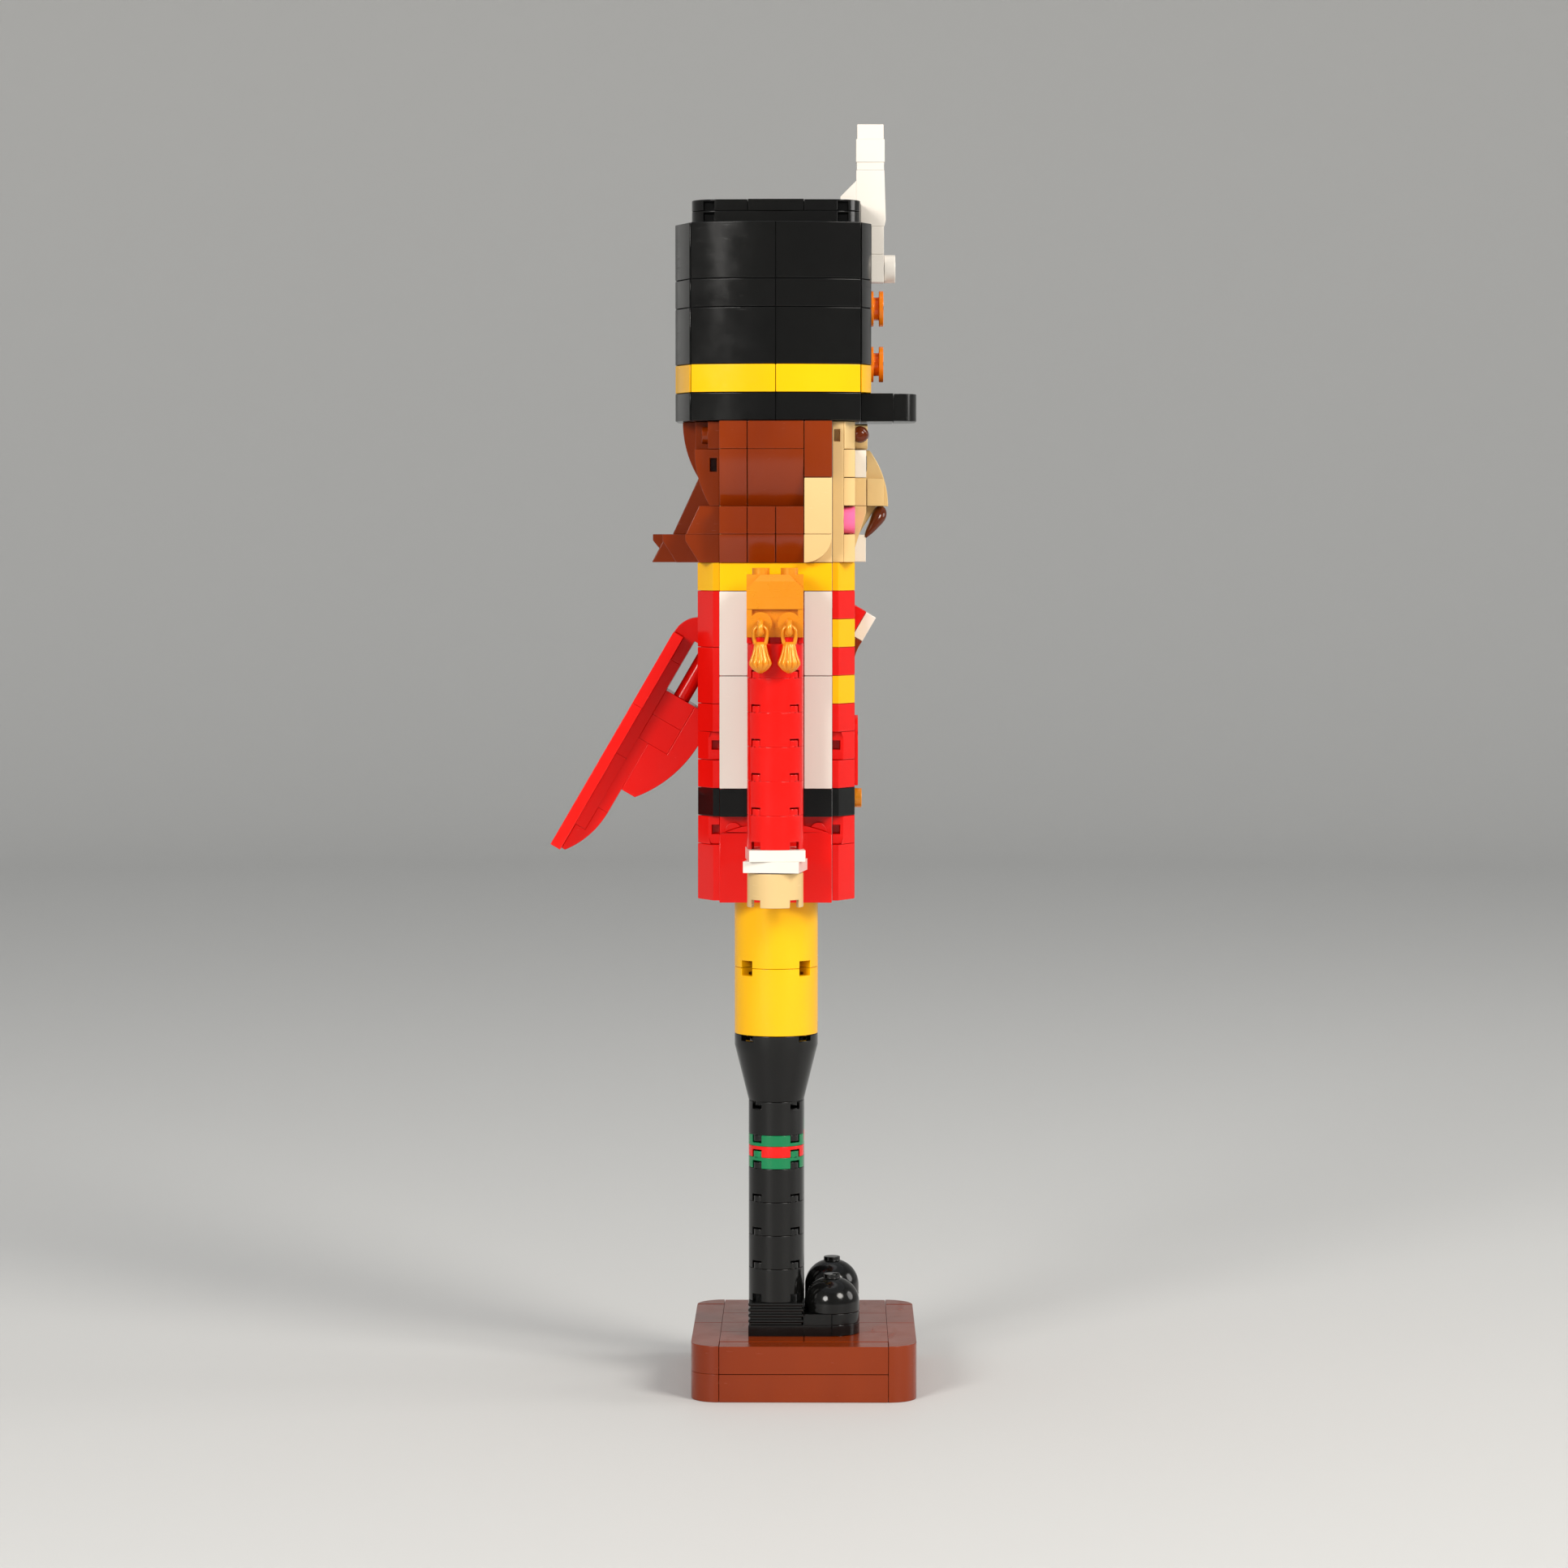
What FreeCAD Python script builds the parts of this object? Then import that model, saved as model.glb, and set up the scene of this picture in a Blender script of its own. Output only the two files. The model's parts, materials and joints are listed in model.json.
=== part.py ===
"""Nutcracker soldier built from construction bricks, on a plinth.

Millimetres. +Z is up, the soldier looks along -Y and its right hand is on -X.
The origin is on the floor, under the line that the legs and arms share.
Depths are written as f, the distance forward of that line, so y = -f.
"""
import FreeCAD, Part
import math
import os
from FreeCAD import Vector

# ---- the brick system ----
stud_pitch = 8.0
plate_height = 3.2
brick_height = 9.6
stud_diameter = 4.8
stud_height = 1.8
side_play = 0.1          # each side of a brick stays this far inside its stud grid
shell_wall = 1.5
tile_row = 8.0           # height of one row of sideways-mounted pieces
slope_lip = 1.8          # thin edge of a slope or curved slope
stud_fit = 0.1           # clearance round a stud inside the piece above it

# ---- base ----
base_width = 80.0
base_length = 64.0
base_front = 40.0        # from the leg line to the base's front face
base_rows = 2
base_edge = 8.0          # depth of the smooth bricks round the base

# ---- legs ----
leg_offset = 16.0
boot_diameter = 16.0
thigh_diameter = 24.0
ankle_height = 6.4
ankle_ribs = 4
rib_depth = 0.5
foot_back = 8.0
foot_front = 24.0
toe_centre = 16.0
toe_height = 9.6
dome_rise = 7.0
boot_bricks = 4
cone_height = 19.2
thigh_height = 19.2
window_size = 4.2
thigh_wall = 3.0

# ---- torso ----
torso_half = 24.0        # half width of the brick core
core_half_depth = 16.0
fascia_depth = 6.4       # sideways pieces on the front and the back
side_tile = 3.2
skirt_height = 24.0
belt_height = 8.0
coat_height = 56.0
collar_height = 8.0
skirt_bulge = 6.4
skirt_belly = 10.8       # straight lower part of the skirt's side domes
skirt_shoulder = 4.9
skirt_crown = 1.6        # top of the domes below the belt
recess_depth = 2.4
hole_depth = 6.0
recess_wide = 5.2
recess_narrow = 2.5
hole_width = 2.2
hole_low = 2.8
hole_height = 2.8
front_stripe_rows = (1, 3)   # yellow rows of the coat, counted down from the collar
white_seam_height = 32.0
placket_height = 20.0
placket_depth = 1.0
back_tile = 3.2
wall_storey = 3 * brick_height
buckle_diameter = 5.6
buckle_depth = 2.1

# ---- jaw lever ----
lever_half = 7.9
lever_clearance = 0.4
open_angle = 30.2
axle_diameter = 4.8
axle_fit = 0.05
axle_rise = 5.6          # axle above the bottom of the brick that holds it
hub_length = 8.0
jaw_height = 8.0
jaw_reach = 21.0
jaw_depth = 9.0
tail_skin_half = 15.7
tail_length = 70.2
tail_face = 23.8         # outer face of the closed tail behind the axle
tail_top_drop = 17.3     # top of the tail skin below the axle
tail_cap_radius = 8.0
arm_under = 0.4
cap_drop = 7.5
tail_skin_seam = 23.4
tail_layer_seam = 38.6
fin_start = 15.8
fin_end = 47.0
fin_depth = 22.4
fin_tip_depth = 14.1
tail_tip_start = 54.8
tail_tip_depth = 4.3
lever_bar_depth = 11.3
beard_length = 8.0
beard_thickness = 1.6

# ---- arms ----
arm_offset = 40.0
arm_diameter = 16.0
arm_bricks = 6
cuff_size = 15.8
cuff_turns = (4.8, -8.6)
hand_gap = 0.3
shoulder_gap = 0.5       # end of the axle to the blind end of its bore
wrist_pin_fit = 0.08
epaulette_height = 6.4
epaulette_chamfer = 4.0
flange_depth = 1.5
roof_drop = 2.0
hook_disc = 6.4
hook_disc_depth = 1.6
hook_pin = 2.0
hook_pin_length = 5.0
hook_drop = 2.4
hook_spacing = 8.0
tassel_fit = 0.1
tassel_loop = 4.5
tassel_loop_depth = 1.8
tassel_window = 3.0
tassel_neck = 2.6
tassel_width = 6.6
tassel_drop = 11.3
tassel_flutes = 8
tassel_gap = 0.4         # between the tassels and the arm behind them
flute_radius = 0.6

# ---- head ----
head_rows = 5
head_half = 24.0
head_half_depth = 16.0
side_layer = 6.4         # plates and tiles on the sides of the head
face_layer = 3.2
eye_half = 8.0
nose_half = 4.0
nose_top = 26.7
nose_tip = 32.0
cup_radius = 3.6
cup_bore = 2.2
cup_depth = 3.6
cup_rise = 3.8
brow_radius = 2.1
moustache_half = 7.5
moustache_front = 31.0
moustache_root = 2.2
moustache_tip = 0.9
flare_reach = 35.7
flare_steps = ((1, 16.4), (2, 9.7))   # column, depth behind the head
flare_undercut = 3.9
flare_right_set_back = 3.3
flare_left_undercut = 5.0
hair_foot = 0.6          # how far the lowest side slopes stand out
crown_hair = (10.8, 6.3)     # depth behind the head at the top and at the bottom
middle_hair = (7.0, 2.7)
nape_hair = (6.3, 13.7)
low_hair = (5.7, 9.5)
hair_hole = (0.6, 2.7)       # square hole in the outer back slope, behind the head
hair_hole_low = 262.5
hair_hole_height = 3.8
temple_slot = (0.3, 2.2)
temple_slot_low = 2.2
temple_slot_high = 5.6
temple_slope = 2.3       # pitches from the middle to where the brow row falls back
chin_foot = 1.9
under_nose_foot = 1.2
under_nose_reach = 28.6
nostril_back = 3.4
nostril_front = 1.2

# ---- hat ----
hat_half = 24.0
hat_side_rise = 6.4      # sideways curved slopes at their thickest
hat_side_lip = 1.6
hat_core_half = 22.4
hat_black_rows = (16.0, 8.0, 16.0)
gap_depth = 6.0
gap_width = 3.2
gap_start = 3.4
gap_height = 2.6
hat_facet = 0.4          # how far the end facets stand out at the hat's corners
hat_back_peak = 4.8      # middle of the back over the core
hat_front_peak = 3.0
hat_back_flat = 9.6      # half width of the flat middle
hat_front_flat = 16.0
visor_reach = 40.0
visor_half = 16.0
visor_nose = 6.6
plume_half = 4.0
plume_overhang = 1.2     # how far the plume's back stands over the crown
plume_lower = 16.0
plume_top = 22.6         # above the hat's top plate
plume_joint = 2.2        # the plume's slightly wider middle starts this far above its foot
plume_tip = 4.2
plume_steps = (0.0, 0.2, -0.1)
plume_wedge = (4.6, 6.6, 2.0)
button_flange = 10.2
button_hub = 6.6
button_heights = (16.6, 0.7)   # above the bottom of the black rows
button_root = 0.8
button_rim = 1.3
button_reach = 3.6

# ---- levels, from the floor up ----
base_height = base_rows * tile_row
ankle_z = base_height + plate_height
boot_z = ankle_z + ankle_height
ring_z = boot_z + boot_bricks * brick_height
upper_boot_z = ring_z + 3 * plate_height
cone_z = upper_boot_z + brick_height
thigh_z = cone_z + cone_height
skirt_z = thigh_z + 2 * thigh_height
belt_z = skirt_z + skirt_height
coat_z = belt_z + belt_height
collar_z = coat_z + coat_height
head_z = collar_z + collar_height
head_rise = head_rows * tile_row
hat_z = head_z + head_rise
band_z = hat_z + tile_row
black_z = band_z + tile_row
hat_top_z = black_z + sum(hat_black_rows)
crown_z = hat_top_z + 2 * plate_height

# ---- places that follow from the sizes above ----
top_plate_z = head_z - plate_height
axle_brick_z = top_plate_z - 2 * brick_height
axle_z = axle_brick_z + axle_rise
fascia_face = core_half_depth + fascia_depth
torso_side = torso_half + side_tile
lever_slot = lever_half + lever_clearance
jaw_slot_z = axle_z - 18.4
head_side = head_half + side_layer
face_base = head_half_depth + face_layer
face_front = face_base + face_layer
eye_front = face_front + face_layer
full_turn = 360.0


# ---- drawing helpers ----
def at(x, f, z):
    return Vector(x, -f, z)


def block(xs, fs, zs, seat="z"):
    """A box between two x, two f and two z values, with play on every side but the seat."""
    ranges = {"x": xs, "f": fs, "z": zs}
    low = {}
    size = {}
    for name, pair in ranges.items():
        play = 0.0 if name == seat else side_play
        low[name] = min(pair) + play
        size[name] = abs(pair[1] - pair[0]) - 2 * play
    corner = Vector(low["x"], -(low["f"] + size["f"]), low["z"])
    return Part.makeBox(size["x"], size["f"], size["z"], corner)


def disc(radius, height, centre, axis="z"):
    """A cylinder that starts at centre (x, f, z) and runs along +x, +f or +z."""
    direction = {"x": Vector(1, 0, 0), "f": Vector(0, -1, 0), "z": Vector(0, 0, 1)}[axis]
    return Part.makeCylinder(radius, height, at(*centre), direction)


def prism(outline, plane, low, high):
    """Extrudes a closed outline. A point is a pair; an arc is ("arc", middle, end)."""
    def place(pair):
        if plane == "fz":
            return at(low, pair[0], pair[1])
        if plane == "xf":
            return at(pair[0], pair[1], low)
        return at(pair[0], low, pair[1])

    push = {"fz": Vector(high - low, 0, 0), "xf": Vector(0, 0, high - low),
            "xz": Vector(0, low - high, 0)}[plane]
    edges = []
    here = outline[0]
    for step in list(outline[1:]) + [outline[0]]:
        if step[0] == "arc":
            edges.append(Part.Arc(place(here), place(step[1]), place(step[2])).toShape())
            here = step[2]
        elif step != here:
            edges.append(Part.LineSegment(place(here), place(step)).toShape())
            here = step
    return Part.Face(Part.Wire(edges)).extrude(push)


def mirror_x(shape):
    return shape.mirror(Vector(0, 0, 0), Vector(1, 0, 0))


def both_sides(shapes):
    return list(shapes) + [mirror_x(shape) for shape in shapes]


def turn(shape, degrees, centre, axis):
    turned = shape.copy()
    turned.rotate(centre, axis, degrees)
    return turned


def slope_arc(length, high, low):
    """Middle point of an arc that starts level at (0, high) and ends at (length, low)."""
    drop = high - low
    radius = (length ** 2 + drop ** 2) / (2 * drop)
    half = math.asin(length / radius) / 2
    return (radius * math.sin(half), high - radius * (1 - math.cos(half)))


def save(name, shapes):
    solids = [solid for shape in shapes for solid in shape.Solids]
    for number, solid in enumerate(solids):
        if not solid.isValid() or solid.Volume <= 0:
            raise ValueError("%s: solid %d is not a good solid" % (name, number))
    Part.makeCompound(solids).exportStep("parts/" + name + ".step")
    print("%-22s %3d solids  %9.1f mm3" % (name, len(solids), sum(s.Volume for s in solids)))


# ---- round bricks ----
def stud_places(pitch=stud_pitch):
    half = pitch / 2
    return [(-half, -half), (half, -half), (half, half), (-half, half)]


def round_brick(x, f, z, height, diameter=boot_diameter, studs=True, inverted=False,
                pin_hole=0.0):
    """A hollow 2 x 2 round brick with four stud notches in its open end."""
    radius = diameter / 2 - side_play
    stud_radius = stud_diameter / 2
    floor = min(shell_wall, height / 3)
    body = disc(radius, height, (x, f, z))
    body = body.cut(disc(radius - shell_wall, height - floor, (x, f, z)))
    notch_height = stud_height + 4 * stud_fit
    for dx, df in stud_places():
        body = body.cut(disc(stud_radius + stud_fit, notch_height, (x + dx, f + df, z)))
        wide = Part.makeBox(radius, 1.5 * stud_radius, notch_height)
        wide.translate(Vector(0, -0.75 * stud_radius, 0))
        wide.rotate(Vector(0, 0, 0), Vector(0, 0, 1), math.degrees(math.atan2(-df, dx)))
        wide.translate(at(x + dx * 0.7, f + df * 0.7, z))
        body = body.cut(wide)
    if studs:
        for dx, df in stud_places():
            body = body.fuse(disc(stud_radius, stud_height, (x + dx, f + df, z + height)))
    if pin_hole:
        body = body.cut(disc(pin_hole, height, (x, f, z)))
    if inverted:
        body = turn(body, full_turn / 2, at(x, f, z + height / 2), Vector(1, 0, 0))
    return body


# ---- base ----
def make_base():
    half = base_width / 2
    back = base_front - base_length
    edge = base_edge
    row_height = base_height / base_rows
    core_top = base_height - plate_height
    inner = (back + edge, base_front - edge)
    core = [block((-half + edge, half - edge), inner, (0, core_top - plate_height)),
            block((-half + edge, half - edge), inner, (core_top - plate_height, core_top))]
    slant = edge * math.sqrt(0.5)
    corners = []
    for tip_f, end, rows in ((base_front, 1, 1), (back, -1, base_rows)):
        in_x = -half + edge
        in_f = tip_f - end * edge
        outline = [(in_x, in_f), (in_x, tip_f),
                   ("arc", (in_x - slant, in_f + end * slant), (-half, in_f))]
        height = base_height / rows
        for row in range(rows):
            corners.append(prism(outline, "xf", row * height, (row + 1) * height))
    sides = []
    for row in range(base_rows):
        zs = (row * row_height, (row + 1) * row_height)
        sides.append(block((-half, -half + edge), inner, zs, seat="x"))
        for face, root in ((base_front, base_front - edge), (back, back + edge)):
            sides.append(block((-half + edge, 0), (root, face), zs, seat="f"))
    tops = []
    middle = (base_front + back) / 2
    columns = (-half + edge, -2 * stud_pitch, 0)
    for low_x, high_x in zip(columns, columns[1:]):
        tops.append(block((low_x, high_x), (inner[0], middle), (core_top, base_height)))
        tops.append(block((low_x, high_x), (middle, inner[1]), (core_top, base_height)))
    save("base_core", core)
    save("base_corner_bricks", both_sides(corners))
    save("base_side_bricks", both_sides(sides))
    save("base_top_tiles", both_sides(tops))


# ---- legs ----
def make_legs():
    x = -leg_offset
    inner = x - stud_pitch
    outer = x + stud_pitch
    plate = block((inner, outer), (-foot_back, toe_centre), (base_height, ankle_z))
    nose = disc(boot_diameter / 2 - side_play, plate_height, (x, toe_centre, base_height))
    overlap = 3 * side_play
    front_half = block((inner, outer), (toe_centre - overlap, foot_front), (base_height, ankle_z))
    plate = plate.fuse(nose.common(front_half)).removeSplitter()

    rib = ankle_height / (2 * ankle_ribs)
    ankle = block((inner + rib_depth, outer - rib_depth), (-foot_back + rib_depth,
                  foot_back - rib_depth), (ankle_z, boot_z))
    for number in range(ankle_ribs):
        low = ankle_z + (2 * number + 1) * rib
        ankle = ankle.fuse(block((inner, outer), (-foot_back, foot_back), (low, low + rib)))
    save("ankle_blocks", both_sides([ankle.removeSplitter()]))

    toe_radius = boot_diameter / 2 - side_play
    step = block((inner, outer), (foot_back, toe_centre), (ankle_z, ankle_z + plate_height))
    cap = disc(toe_radius, plate_height, (x, toe_centre, ankle_z))
    front = block((inner, outer), (toe_centre - overlap, foot_front),
                  (ankle_z, ankle_z + plate_height))
    toe_plate = step.fuse(cap.common(front)).removeSplitter()
    save("foot_plates", both_sides([plate, toe_plate]))
    dome_z = ankle_z + plate_height
    wall_z = dome_z + toe_height - dome_rise
    slant = math.sqrt(0.5)
    middle = at(x + toe_radius * slant, toe_centre, wall_z + dome_rise * slant)
    foot_centre = at(x, toe_centre, dome_z)
    crown = at(x, toe_centre, dome_z + toe_height)
    rim = at(x + toe_radius, toe_centre, dome_z)
    shoulder = at(x + toe_radius, toe_centre, wall_z)
    lines = [Part.LineSegment(foot_centre, rim).toShape(), Part.LineSegment(rim, shoulder).toShape(),
             Part.Arc(shoulder, middle, crown).toShape(),
             Part.LineSegment(crown, foot_centre).toShape()]
    dome = Part.Face(Part.Wire(lines)).revolve(foot_centre, Vector(0, 0, 1), full_turn)
    stud_sink = stud_height / 2
    dome = dome.fuse(disc(stud_diameter / 2, stud_height,
                          (x, toe_centre, dome_z + toe_height - stud_sink)))
    save("toe_domes", both_sides([dome]))

    bricks = []
    for number in range(boot_bricks):
        bricks.append(round_brick(x, 0, boot_z + number * brick_height, brick_height))
    bricks.append(round_brick(x, 0, upper_boot_z, brick_height, inverted=True))
    save("boot_bricks", both_sides(bricks))
    green = [round_brick(x, 0, ring_z, plate_height),
             round_brick(x, 0, ring_z + 2 * plate_height, plate_height, studs=False, inverted=True)]
    save("boot_rings_green", both_sides(green))
    red = round_brick(x, 0, ring_z + plate_height, plate_height, studs=False)
    save("boot_rings_red", both_sides([red]))

    boot_radius = boot_diameter / 2 - side_play
    thigh_radius = thigh_diameter / 2 - side_play
    rim_z = thigh_z - plate_height
    cone = Part.makeCone(boot_radius, thigh_radius, rim_z - cone_z, at(x, 0, cone_z))
    cone = cone.fuse(disc(thigh_radius, plate_height, (x, 0, rim_z))).removeSplitter()
    hollow = Part.makeCone(boot_radius - shell_wall, thigh_radius - shell_wall,
                           thigh_z - cone_z - shell_wall, at(x, 0, cone_z + shell_wall))
    cone = cone.cut(hollow)
    for dx, df in stud_places(thigh_radius * 1.3):
        cone = cone.cut(disc(stud_diameter / 2, plate_height / 2, (x + dx, df, thigh_z - plate_height / 2)))
    save("boot_cones", both_sides([cone]))

    thighs = []
    for number in range(2):
        low = thigh_z + number * thigh_height
        thigh = disc(thigh_radius, thigh_height - side_play, (x, 0, low + side_play / 2))
        bore_low = low if number == 0 else low + shell_wall
        thigh = thigh.cut(disc(thigh_radius - thigh_wall, thigh_height - shell_wall, (x, 0, bore_low)))
        window_z = thigh_z + thigh_height - window_size / 2
        for quarter in range(4):
            cutter = Part.makeBox(thigh_radius, window_size, window_size)
            cutter.translate(Vector(0, -window_size / 2, 0))
            cutter.rotate(Vector(0, 0, 0), Vector(0, 0, 1), (quarter + 0.5) * full_turn / 4)
            cutter.translate(at(x, 0, window_z))
            thigh = thigh.cut(cutter)
        thighs.append(thigh)
    save("thigh_cylinders", both_sides(thighs))


# ---- torso ----
def corner_slope(end, low, high, depth=None):
    """The right-hand corner piece of one row; end is 1 at the front and -1 at the back."""
    depth = fascia_depth if depth is None else depth
    root = end * core_half_depth
    inner_x = -(torso_half - stud_pitch) - side_play
    outer_x = -torso_half + side_play
    outline = [(inner_x, root), (inner_x, root + end * depth),
               (outer_x, root + end * slope_lip), (outer_x, root)]
    return prism(outline, "xf", low + side_play / 2, high - side_play / 2)


def wedge_with_hole(end, low, high, near_low, near_high):
    """A corner piece with a sloping recess and, deeper in, a square hole.

    near_low and near_high are the recess's widths at its bottom and at its top.
    """
    piece = corner_slope(end, low, high)
    root = end * core_half_depth
    outer_x = -torso_half
    wall_x = outer_x + recess_depth
    recess = prism([(root, low), (root + end * near_low, low), (root + end * near_high, high),
                    (root, high)], "fz", outer_x, wall_x)
    hole = block((outer_x, outer_x + hole_depth), (root, root + end * hole_width),
                 (low + hole_low, low + hole_low + hole_height), seat="f")
    return piece.cut(recess).cut(hole)


def fascia(end, xs, low, high):
    root = end * core_half_depth
    face = end * fascia_face
    return block(xs, (root, face), (low, high), seat="f")


def make_torso():
    low = skirt_z + plate_height
    inner = torso_half - stud_pitch
    plate = block((-torso_half, torso_half), (-core_half_depth + stud_pitch / 2, core_half_depth),
                  (skirt_z, low))
    top = block((-torso_half, torso_half), (-core_half_depth, core_half_depth),
                (top_plate_z, head_z))
    top = top.cut(block((-lever_slot, lever_slot), (jaw_reach - jaw_depth - lever_clearance,
                  core_half_depth), (top_plate_z, head_z)))
    save("torso_plates", [plate, top])

    walls = []
    levels = [low]
    while levels[-1] + wall_storey < axle_brick_z - side_play:
        levels.append(levels[-1] + wall_storey)
    spans = list(zip(levels, levels[1:] + [axle_brick_z]))
    spans += [(axle_brick_z, axle_brick_z + brick_height),
              (axle_brick_z + brick_height, top_plate_z)]
    reach = torso_half + side_play
    for low_z, high_z in spans:
        for side in (-1, 1):
            wall = block((side * inner, side * torso_half), (-core_half_depth, core_half_depth),
                         (low_z, high_z))
            if low_z == axle_brick_z:
                wall = wall.cut(disc(axle_diameter / 2, 2 * reach, (-reach, 0, axle_z), "x"))
            walls.append(wall)
            walls.append(block((side * inner, side * lever_slot), (-core_half_depth,
                         -core_half_depth + stud_pitch), (low_z, high_z)))
            front = (core_half_depth - stud_pitch, core_half_depth)
            if high_z > jaw_slot_z:
                walls.append(block((side * inner, side * lever_slot), front, (low_z, high_z)))
        if high_z <= jaw_slot_z:
            walls.append(block((-inner, inner), front, (low_z, high_z)))
    end_x = arm_offset + stud_pitch / 2
    save("main_axle", [disc(axle_diameter / 2, 2 * end_x, (-end_x, 0, axle_z), "x")])

    whites = []
    seam = coat_z + white_seam_height
    for zs in ((coat_z, seam), (seam, collar_z)):
        for near in (-1, 1):
            whites.append(block((-torso_half, -torso_side), (near * stud_pitch,
                          near * 2 * stud_pitch), zs, seat="x"))
    save("side_white_tiles", both_sides(whites))
    reds = []
    for zs in ((coat_z, seam), (seam, collar_z)):
        tile = block((-torso_half, -torso_side), (-stud_pitch, stud_pitch), zs, seat="x")
        tile = tile.cut(disc(axle_diameter / 2 + stud_fit, 2 * side_tile,
                             (-torso_side - side_tile / 2, 0, axle_z), "x"))
        reds.append(tile)
    save("side_red_tiles", both_sides(reds))

    rows = round(coat_height / tile_row)
    red_blocks = []
    yellow_blocks = []
    belt_blocks = []
    for row in range(rows):
        high = collar_z - row * tile_row
        base = high - tile_row
        kind = yellow_blocks if row in front_stripe_rows else red_blocks
        kind.append(wedge_with_hole(1, base, high, recess_wide, recess_narrow) if row == rows - 2 else
                    corner_slope(1, base, high))
        near = lever_slot if base + tile_row / 2 > jaw_slot_z else 0
        kind.append(fascia(1, (-inner, -near), base, high))
    for high, base in ((collar_z, collar_z - 2 * tile_row),
                       (collar_z - 2 * tile_row, collar_z - 4 * tile_row),
                       (collar_z - 4 * tile_row, collar_z - 5 * tile_row),
                       (collar_z - 6 * tile_row, coat_z)):
        red_blocks.append(corner_slope(-1, base, high))
    red_blocks.append(wedge_with_hole(-1, collar_z - 6 * tile_row, collar_z - 5 * tile_row,
                                      recess_wide, recess_narrow))
    skirt_break = skirt_z + 2 * tile_row
    for end in (1, -1):
        red_blocks.append(wedge_with_hole(end, skirt_break, belt_z, recess_narrow, recess_wide))
        red_blocks.append(corner_slope(end, skirt_z, skirt_break))
    red_blocks.append(fascia(1, (-inner, 0), skirt_z, belt_z))
    for zs in ((low, belt_z), (coat_z, coat_z + coat_height / 2), (coat_z + coat_height / 2, collar_z)):
        red_blocks.append(block((-lever_slot, -inner), (-core_half_depth,
                          -core_half_depth - back_tile), zs, seat="f"))
    yellow_blocks += [corner_slope(1, collar_z, head_z), corner_slope(-1, collar_z, head_z),
                      fascia(1, (-lever_slot, -inner), collar_z, head_z),
                      fascia(-1, (-inner, 0), collar_z, head_z),
                      block((-torso_half, -torso_side), (-core_half_depth, core_half_depth),
                            (collar_z, head_z), seat="x")]
    belt_blocks += [corner_slope(1, belt_z, coat_z), corner_slope(-1, belt_z, coat_z),
                    fascia(1, (-inner, 0), belt_z, coat_z),
                    block((-lever_slot, -inner), (-core_half_depth, -core_half_depth - back_tile),
                          (belt_z, coat_z), seat="f"),
                    block((-torso_half, -torso_side), (-core_half_depth, core_half_depth),
                          (belt_z, coat_z), seat="x")]
    save("coat_yellow_blocks", both_sides(yellow_blocks))
    save("belt_blocks", both_sides(belt_blocks))

    bulge = skirt_bulge
    belly = skirt_belly
    mid = slope_arc(skirt_height - belly, bulge, slope_lip)
    profile = [(-torso_half, skirt_z), (-torso_half - bulge, skirt_z),
               (-torso_half - bulge, skirt_z + belly),
               ("arc", (-torso_half - mid[1], skirt_z + belly + mid[0]),
                (-torso_half - slope_lip, belt_z)), (-torso_half, belt_z)]
    dome = prism(profile, "xz", -core_half_depth + side_play, core_half_depth - side_play)
    shoulder_z = belt_z - skirt_shoulder
    crown = [(-core_half_depth, skirt_z), (-core_half_depth, shoulder_z),
             ("arc", (0, belt_z - skirt_crown), (core_half_depth, shoulder_z)),
             (core_half_depth, skirt_z)]
    dome = dome.common(prism(crown, "fz", -torso_half - 2 * bulge, -torso_half))
    save("skirt_domes", both_sides([dome]))
    pips = []
    for near in (-1, 1):
        pip = disc(stud_diameter / 2, slope_lip, (-torso_half - slope_lip, near * 1.5 * stud_pitch,
                                                  belt_z - stud_pitch / 2), "x")
        pips.append(pip.cut(dome))
    save("torso_bricks", walls + both_sides(pips))

    round_top = placket_height - stud_pitch
    half = stud_pitch - side_play
    outline = [(-half, coat_z), (-half, coat_z + round_top),
               ("arc", (0, coat_z + placket_height), (half, coat_z + round_top)), (half, coat_z)]
    placket = prism(outline, "xz", fascia_face, fascia_face + placket_depth)
    save("coat_red_blocks", both_sides(red_blocks) + [placket])
    buckle_z = (belt_z + coat_z) / 2
    ring = disc(buckle_diameter / 2, buckle_depth, (0, fascia_face, buckle_z), "f")
    ring = ring.cut(disc(buckle_diameter / 4, buckle_depth / 2,
                         (0, fascia_face + buckle_depth / 2, buckle_z), "f"))
    save("belt_buckle", [ring])


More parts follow.
